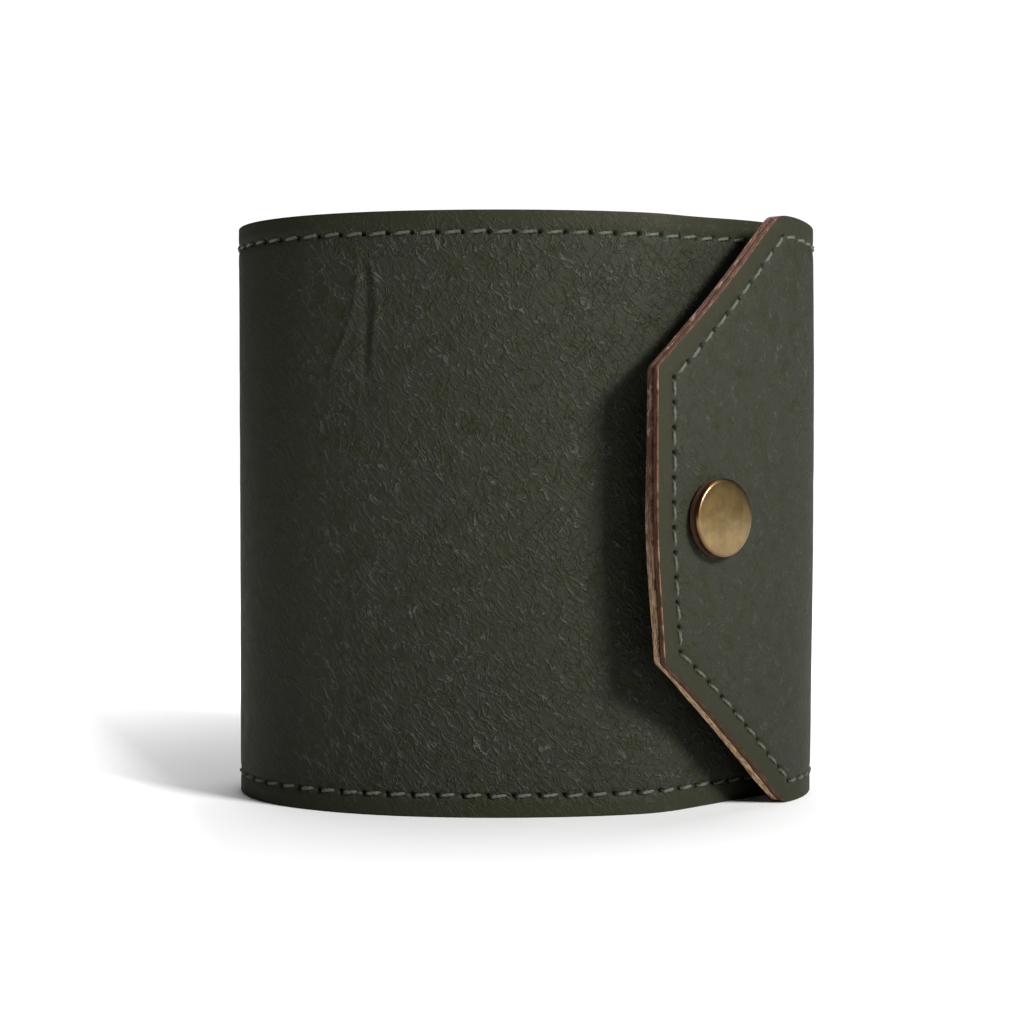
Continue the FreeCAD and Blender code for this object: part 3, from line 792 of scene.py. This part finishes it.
# Columns are closest along the stitch rows that run across the strip.
front_columns = spaced(0, BACK_MIDDLE, 0.55, dense=[(0, 3.0, 0.25), (3.0, 4.0, 0.12),
                                                    (4.0, 128, 0.30)], free_ends=(True, False))
flap_columns = spaced(BACK_MIDDLE, plan.length, 0.55,
                      dense=[(215, CORNER - 3, 0.30), (CORNER - 3, plan.length - 4.1, 0.22),
                             (plan.length - 4.1, plan.length - 2.9, 0.12),
                             (plan.length - 2.9, plan.length, 0.25)], free_ends=(False, True))


def strip(side, columns, row, free_ends, fold, nodes, seams):
    """One half of the strip: both plies and their thread, from its free end round a fold to
    the hidden join in the middle of the back."""
    whole = (strip_low, strip_high)
    skin = Sheet(columns, whole, (0, PLY), free_ends=free_ends, rows=220)
    piece = skin.work(outer=sewn([row], finished=True)).made(
        side + "_outer_strip", OUTER, "outer_leather")
    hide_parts(*[node + "_leather" for node in nodes])
    bent(piece, fold)
    under = Sheet(columns, whole, (PLY, 2 * PLY), free_ends=free_ends, fine=(False, True),
                  rounding=0.2, rows=120)
    piece = under.work(inner=sewn([row])).made(side + "_lining_strip", LINING,
                                               "lining_leather", lift=swollen)
    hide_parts(*[node + "_lining" for node in nodes])
    bent(piece, fold)
    piece = thread(side + "_seam_thread", [row], THREAD)
    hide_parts(*seams)
    bent(piece, fold)


strip("front", front_columns, FRONT_ROW, (True, False), "left", ("front", "back"),
      ("front_stitching", "back_top_stitching", "back_bottom_stitching"))
strip("flap", flap_columns, FLAP_ROW, (False, True), "right", ("flap",), ("flap_stitching",))


def pocket(side, middle, kind, height, under):
    """A card pocket: its foot and sides are sewn down, its mouth has a thumb notch."""
    half = POCKET_WIDTH / 2
    columns = spaced(middle - half, middle + half, 0.7,
                     dense=[(middle - half, middle - half + 3.2, 0.2),
                            (middle - NOTCH - 1.5, middle - NOTCH + 1.5, 0.12),
                            (middle + NOTCH - 1.5, middle + NOTCH + 1.5, 0.12),
                            (middle + half - 3.2, middle + half, 0.2)])

    def mouth(s):
        across = np.minimum(np.abs(s - middle) / NOTCH, 1)
        return height - NOTCH * np.sqrt(1 - across ** 2)

    def open_up(s, z, depth):
        """The sheet stands off the one under it, most of all at its mouth."""
        reach = smooth((half - POCKET_SEAM - np.abs(s - middle)) / 7)
        rise = smooth((z - POCKET_FOOT) / 14) * (0.75 + 0.25 * smooth(z / height))
        return 0.85 * POCKET_SPACE * reach * rise

    edge, last = half - POCKET_SEAM / 2, height - 1.6
    row = holes_along([(middle - edge, last), (middle - edge, LOW_ROW),
                       (middle + edge, LOW_ROW), (middle + edge, last)])
    body = Sheet(columns, (lambda s: 0 * s + POCKET_GAP, mouth), (under, under + POCKET_SHEET),
                 fine=(False, True), rounding=0.2, rows=110)
    body.work(inner=sewn([row]))
    piece = body.made(f"{side}_{kind}_card_pocket", POCKET, "pocket_leather", lift=open_up)
    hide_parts(f"{side}_{kind}_pocket")
    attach(piece, side + "_cover")
    return row


for side, middle in (("front", FRONT_MIDDLE), ("back", BACK_MIDDLE)):
    pocket(side, middle, "tall", TALL_POCKET, 2 * PLY)
    row = pocket(side, middle, "short", SHORT_POCKET, 2 * PLY + POCKET_SHEET)
    top = 2 * PLY + 2 * POCKET_SHEET
    seam = thread(side + "_pocket_thread", [row], THREAD, faces=((top, -1),))
    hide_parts(side + "_pocket_stitching")
    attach(seam, side + "_cover")


# ---------------------------------------------------------------- press stud

cap_point, cap_normal = plan.at(CAP_LINE)
axis = np.append(cap_normal[0], 0)
cap_at = np.append(cap_point[0], STUD_HEIGHT)
arc = list(ARCS).index("stud")
stud_at = np.append(plan.centres[arc] + axis[:2] * plan.radii[arc], STUD_HEIGHT)

socket_end = -2 * PLY - SOCKET_GAP - SOCKET_LENGTH
spring_line, spring_radius, wire = socket_end + 0.7, 2.6, 0.3
pieces = [
    turned("snap_cap_turned",
           [(r, 2.40 - r * r / 160, 0) for r in np.linspace(0, 5.2, 9)]
           + [(6.25, 2.14, 0.9), (6.22, 0.35, 0.2), (5.9, 0.10, 0.1), (1.5, 0.10, 0.1),
              (1.5, -3.45, 0.1), (2.1, -3.60, 0.1), (2.1, -4.05, 0.15), (0, -4.12, 0)],
           cap_at, axis, CAP_BRASS, "antique_brass", wobble=0.02),
    turned("snap_socket_turned",
           [(1.75, -2.78, 0.1), (5.3, -2.75, 0.15), (5.3, -3.30, 0.2), (4.7, -3.60, 0.3),
            (4.62, -6.6, 0.3), (4.2, -7.25, 0.4), (3.5, -7.25, 0.25), (2.75, -7.10, 0.2),
            (2.75, -6.90, 0.1), (3.3, -6.70, 0.1), (3.3, -3.60, 0.3), (1.75, -3.55, 0.1),
            (1.75, -2.78, 0.1)],
           cap_at, axis, SNAP_BRASS, "snap_brass"),
    turned("snap_spring_turned",
           [(spring_radius + wire * math.cos(a), spring_line - wire * math.sin(a), 0)
            for a in np.linspace(0, 2 * math.pi, 17)[:-1]]
           + [(spring_radius + wire, spring_line, 0)],
           cap_at, axis, STEEL, "spring_steel"),
    turned("snap_stud_turned",
           [(1.5, 2.6, 0.1), (1.5, 3.45, 0.1), (1.75, 3.66, 0.15), (2.2, 3.45, 0.3),
            (2.42, 2.95, 0.3), (2.35, 2.4, 0.3), (2.0, 1.6, 0.4), (2.0, 0.75, 0.4),
            (3.9, 0.62, 0.3), (4.4, 0.40, 0.15), (4.4, 0.15, 0.05), (1.5, 0.15, 0.05),
            (1.5, 2.6, 0.1)],
           stud_at, axis, SNAP_BRASS, "snap_brass"),
    turned("stud_rivet_turned",
           [(0, 2.4, 0), (1.15, 2.36, 0.2), (1.35, 2.1, 0.2), (1.35, -2.95, 0.05),
            (3.3, -2.95, 0.1), (3.4, -3.2, 0.15), (3.1, -3.5, 0.3), (0, -3.55, 0)],
           stud_at, axis, SNAP_BRASS, "snap_brass"),
]
for piece, node in zip(pieces, ("snap_cap", "snap_socket", "snap_spring", "snap_stud",
                                "stud_rivet")):
    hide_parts(node)
    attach(piece, "front_cover" if node in ("snap_stud", "stud_rivet") else "flap")


# ---------------------------------------------------------------- floor, camera and lights

FLOOR_CENTRE = (0.03, -0.03, 0)
FLOOR_GREY, FLOOR_GLOW = 0.63, 0.58


def floor_material():
    """Pale grey by the object; further away, and sooner to the left, it glows with painted light
    up to the white of the studio, which fades the cast shadow out."""
    sh = Shader("pale_floor")
    place = sh.node("TexCoord", out="Object")
    away = sh.node("VectorMath", {0: place}, out="Value", operation="LENGTH")
    left = sh.node("VectorMath", {0: place, 1: (-0.978, -0.208, 0)}, out="Value",
                   operation="DOT_PRODUCT")
    # painted light: the floor glows more with distance and towards the left, taking out the shadow
    glow = sh.math("MAXIMUM", sh.ramp(away, 0.07, 0.22), sh.ramp(left, 0.075, 0.101))
    return sh.set(Base_Color=grey(FLOOR_GREY), Roughness=0.9, Specular_IOR_Level=0.2,
                  Emission_Color=grey(1), Emission_Strength=sh.math("MULTIPLY", glow, FLOOR_GLOW))


def floor():
    half = 4.0
    mesh = bpy.data.meshes.new("floor")
    mesh.from_pydata([(-half, -half, 0), (half, -half, 0), (half, half, 0), (-half, half, 0)],
                     [], [(0, 1, 2, 3)])
    mesh.materials.append(floor_material())
    item = bpy.data.objects.new("floor", mesh)
    item.location = FLOOR_CENTRE
    bpy.context.scene.collection.objects.link(item)


def studio_world():
    """White wherever the camera sees it; only the part straight behind the object lights it."""
    world = bpy.data.worlds.new("studio")
    world.use_nodes = True
    tree = world.node_tree
    ground = tree.nodes["Background"]
    way = tree.nodes.new("ShaderNodeTexCoord")
    parts = tree.nodes.new("ShaderNodeSeparateXYZ")
    fade = tree.nodes.new("ShaderNodeMapRange")
    fade.interpolation_type = "SMOOTHSTEP"
    for key, value in (("From Min", 0.88), ("From Max", 0.95), ("To Min", 0.0), ("To Max", 1.06)):
        fade.inputs[key].default_value = value
    seen = tree.nodes.new("ShaderNodeLightPath")
    brighter = tree.nodes.new("ShaderNodeMath")
    brighter.operation = "MAXIMUM"
    ground.inputs["Color"].default_value = (1, 1, 1, 1)
    tree.links.new(way.outputs["Generated"], parts.inputs[0])
    tree.links.new(parts.outputs[1], fade.inputs[0])
    tree.links.new(fade.outputs[0], brighter.inputs[0])
    tree.links.new(seen.outputs["Is Camera Ray"], brighter.inputs[1])
    tree.links.new(brighter.outputs[0], ground.inputs["Strength"])
    bpy.context.scene.world = world


def softbox(name, place, aim, size, power):
    """A square light of that size in metres, turned to face a point."""
    light = bpy.data.lights.new(name, "AREA")
    light.shape, light.size, light.energy = "SQUARE", size, power
    item = bpy.data.objects.new(name, light)
    item.location = place
    way = np.array(aim) - np.array(place)
    item.rotation_euler = (math.atan2(math.hypot(way[0], way[1]), -way[2]), 0,
                           math.atan2(-way[0], way[1]))
    bpy.context.scene.collection.objects.link(item)


def soft_sun(name, elevation, right, spread, strength):
    """A distant light so high and so far right of the camera, in degrees."""
    light = bpy.data.lights.new(name, "SUN")
    light.energy, light.angle = strength, math.radians(spread)
    item = bpy.data.objects.new(name, light)
    item.rotation_euler = (math.radians(90 - elevation), 0, math.radians(right))
    bpy.context.scene.collection.objects.link(item)


def point_camera(place, tilt, length):
    """A camera that looks straight to the back, tilted down by so many degrees."""
    lens = bpy.data.cameras.new("camera")
    lens.sensor_width, lens.lens = 36, length
    camera = bpy.data.objects.new("camera", lens)
    camera.location = place
    camera.rotation_euler = (math.radians(90 - tilt), 0, 0)
    bpy.context.scene.collection.objects.link(camera)
    bpy.context.scene.camera = camera


floor()
studio_world()
softbox("key", (0.62, -0.52, 0.47), (0, 0, 0.05), 0.22, 18.1)
soft_sun("overhead", 70, 180, 40, 2.35)
soft_sun("front", 47, 32, 16, 0.3)
bpy.context.scene.view_settings.view_transform = "Standard"
point_camera((-0.0024, -0.340, 0.0567), 1.5, 70.3)
